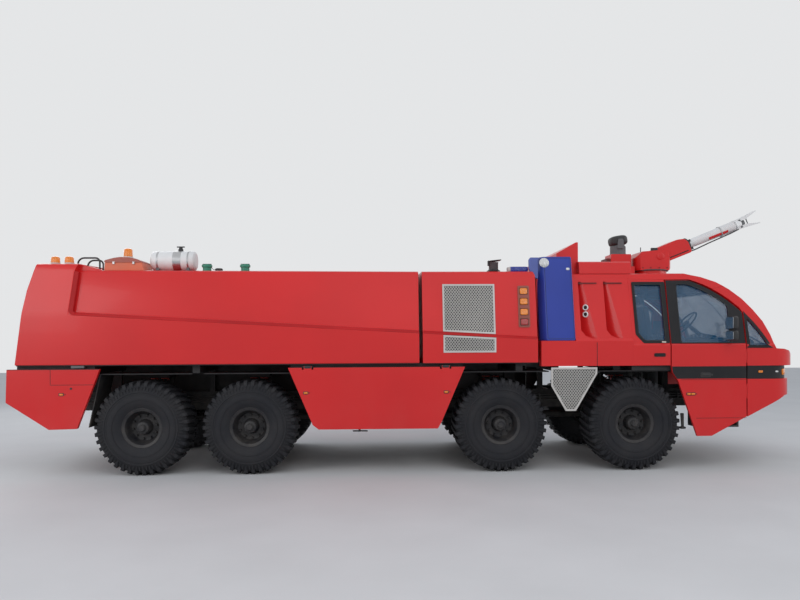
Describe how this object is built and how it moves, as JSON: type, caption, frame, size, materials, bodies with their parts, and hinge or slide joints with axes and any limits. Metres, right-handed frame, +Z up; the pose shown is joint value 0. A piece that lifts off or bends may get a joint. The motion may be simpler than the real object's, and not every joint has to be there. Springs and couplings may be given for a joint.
{
  "type": "airport crash tender",
  "caption": "Long red airport fire truck on large wheels: bowed glazed cab, roof turret, closed tank body, side flaps and skirts.",
  "frame": {"origin": "on the ground under the middle of the bounding box", "axes": "+X forward along the truck, +Y to its left side, +Z up"},
  "size_m": [11.4796, 3.56, 3.99],
  "materials": {
    "paint_red": "gloss",
    "paint_black": "satin",
    "paint_rim": "satin",
    "paint_spring": "satin",
    "tyre": "matt",
    "glass": "clear",
    "grille": "satin",
    "lens_blue": "gloss",
    "lens_amber": "gloss",
    "lens_red": "gloss",
    "plastic_black": "matt",
    "plastic_grey": "matt",
    "fabric_seat": "matt",
    "iron_engine": "matt",
    "steel": "brushed",
    "fittings": "satin"
  },
  "bodies": {
    "chassis": {"suspension_arms": "paint_black", "drive_shafts": "paint_black", "frame": "paint_black", "tow_jaws": "paint_black", "springs": "paint_spring", "engine_block": "iron_engine", "rear_body": "paint_red", "engine_module": "paint_red", "cab_quarter": "paint_red", "cab_sides": "paint_red", "cab_roof": "paint_red", "cab_pillars": "paint_red", "nose": "paint_red", "bumper": "paint_red", "roof_fairing": "paint_red", "tail_skirts": "paint_red", "grilles": "grille", "exhaust_stack": "paint_black", "lamp_band": "plastic_black", "mudguards": "plastic_black", "dashboard": "plastic_black", "cab_floor": "paint_black", "cab_glass": "glass", "seats": "fabric_seat", "blue_lamps": "lens_blue", "amber_lamps": "lens_amber", "rear_lamps": "lens_red", "roof_fittings": "fittings", "rear_ladder": "steel", "thermal_camera": "plastic_grey"},
    "knuckle_1_right": {"knuckle_1_right": "paint_black"},
    "knuckle_1_left": {"knuckle_1_left": "paint_black"},
    "knuckle_2_right": {"knuckle_2_right": "paint_black"},
    "knuckle_2_left": {"knuckle_2_left": "paint_black"},
    "wheel_1_right": {"tyre_1_right": "tyre", "rim_1_right": "paint_rim"},
    "wheel_1_left": {"tyre_1_left": "tyre", "rim_1_left": "paint_rim"},
    "wheel_2_right": {"tyre_2_right": "tyre", "rim_2_right": "paint_rim"},
    "wheel_2_left": {"tyre_2_left": "tyre", "rim_2_left": "paint_rim"},
    "wheel_3_right": {"tyre_3_right": "tyre", "rim_3_right": "paint_rim"},
    "wheel_3_left": {"tyre_3_left": "tyre", "rim_3_left": "paint_rim"},
    "wheel_4_right": {"tyre_4_right": "tyre", "rim_4_right": "paint_rim"},
    "wheel_4_left": {"tyre_4_left": "tyre", "rim_4_left": "paint_rim"},
    "door_right": {"door_right": "paint_red", "door_glass_right": "glass", "mirror_right": "plastic_black"},
    "flap_right": {"flap_right": "paint_red"},
    "door_left": {"door_left": "paint_red", "door_glass_left": "glass", "mirror_left": "plastic_black"},
    "flap_left": {"flap_left": "paint_red"},
    "turret_head": {"turret_head": "paint_red"},
    "turret_barrel": {"turret_barrel": "paint_red"}
  },
  "joints": [
    {"name": "steer_1_right", "type": "hinge", "parent": "chassis", "child": "knuckle_1_right", "pos_m": [3.08922, -0.95, 0.665], "axis": [0, 0, 1], "range_deg": [-30, 30]},
    {"name": "steer_1_left", "type": "hinge", "parent": "chassis", "child": "knuckle_1_left", "pos_m": [3.08922, 0.95, 0.665], "axis": [0, 0, 1], "range_deg": [-30, 30]},
    {"name": "steer_2_right", "type": "hinge", "parent": "chassis", "child": "knuckle_2_right", "pos_m": [1.15922, -0.95, 0.665], "axis": [0, 0, 1], "range_deg": [-19.6, 19.6]},
    {"name": "steer_2_left", "type": "hinge", "parent": "chassis", "child": "knuckle_2_left", "pos_m": [1.15922, 0.95, 0.665], "axis": [0, 0, 1], "range_deg": [-19.6, 19.6]},
    {"name": "spin_1_right", "type": "hinge", "parent": "knuckle_1_right", "child": "wheel_1_right", "pos_m": [3.08922, -1.18, 0.665], "axis": [0, 1, 0], "continuous": true},
    {"name": "spin_1_left", "type": "hinge", "parent": "knuckle_1_left", "child": "wheel_1_left", "pos_m": [3.08922, 1.18, 0.665], "axis": [0, 1, 0], "continuous": true},
    {"name": "spin_2_right", "type": "hinge", "parent": "knuckle_2_right", "child": "wheel_2_right", "pos_m": [1.15922, -1.18, 0.665], "axis": [0, 1, 0], "continuous": true},
    {"name": "spin_2_left", "type": "hinge", "parent": "knuckle_2_left", "child": "wheel_2_left", "pos_m": [1.15922, 1.18, 0.665], "axis": [0, 1, 0], "continuous": true},
    {"name": "spin_3_right", "type": "hinge", "parent": "chassis", "child": "wheel_3_right", "pos_m": [-2.39878, -1.18, 0.665], "axis": [0, 1, 0], "continuous": true},
    {"name": "spin_3_left", "type": "hinge", "parent": "chassis", "child": "wheel_3_left", "pos_m": [-2.39878, 1.18, 0.665], "axis": [0, 1, 0], "continuous": true},
    {"name": "spin_4_right", "type": "hinge", "parent": "chassis", "child": "wheel_4_right", "pos_m": [-3.89878, -1.18, 0.665], "axis": [0, 1, 0], "continuous": true},
    {"name": "spin_4_left", "type": "hinge", "parent": "chassis", "child": "wheel_4_left", "pos_m": [-3.89878, 1.18, 0.665], "axis": [0, 1, 0], "continuous": true},
    {"name": "door_right_hinge", "type": "hinge", "parent": "chassis", "child": "door_right", "pos_m": [4.70322, -1.493, 1.5], "axis": [0, 0, 1], "range_deg": [0, 75]},
    {"name": "door_left_hinge", "type": "hinge", "parent": "chassis", "child": "door_left", "pos_m": [4.70322, 1.493, 1.5], "axis": [0, 0, -1], "range_deg": [0, 75]},
    {"name": "flap_right_hinge", "type": "hinge", "parent": "chassis", "child": "flap_right", "pos_m": [-0.60328, -1.488, 1.512], "axis": [-1, 0, 0], "range_deg": [0, 85]},
    {"name": "flap_left_hinge", "type": "hinge", "parent": "chassis", "child": "flap_left", "pos_m": [-0.60328, 1.488, 1.512], "axis": [1, 0, 0], "range_deg": [0, 85]},
    {"name": "turret_yaw", "type": "hinge", "parent": "chassis", "child": "turret_head", "pos_m": [3.90122, 0, 3], "axis": [0, 0, 1], "range_deg": [-90, 90]},
    {"name": "barrel_elevation", "type": "hinge", "parent": "turret_head", "child": "turret_barrel", "pos_m": [3.99122, 0, 3.215], "axis": [0, -1, 0], "range_deg": [-31.5, 38.5]}
  ],
  "couplings": [
    {"joint": "steer_1_left", "follows": "steer_1_right", "ratio": 1},
    {"joint": "steer_2_right", "follows": "steer_1_right", "ratio": 0.65},
    {"joint": "steer_2_left", "follows": "steer_1_right", "ratio": 0.65}
  ]
}
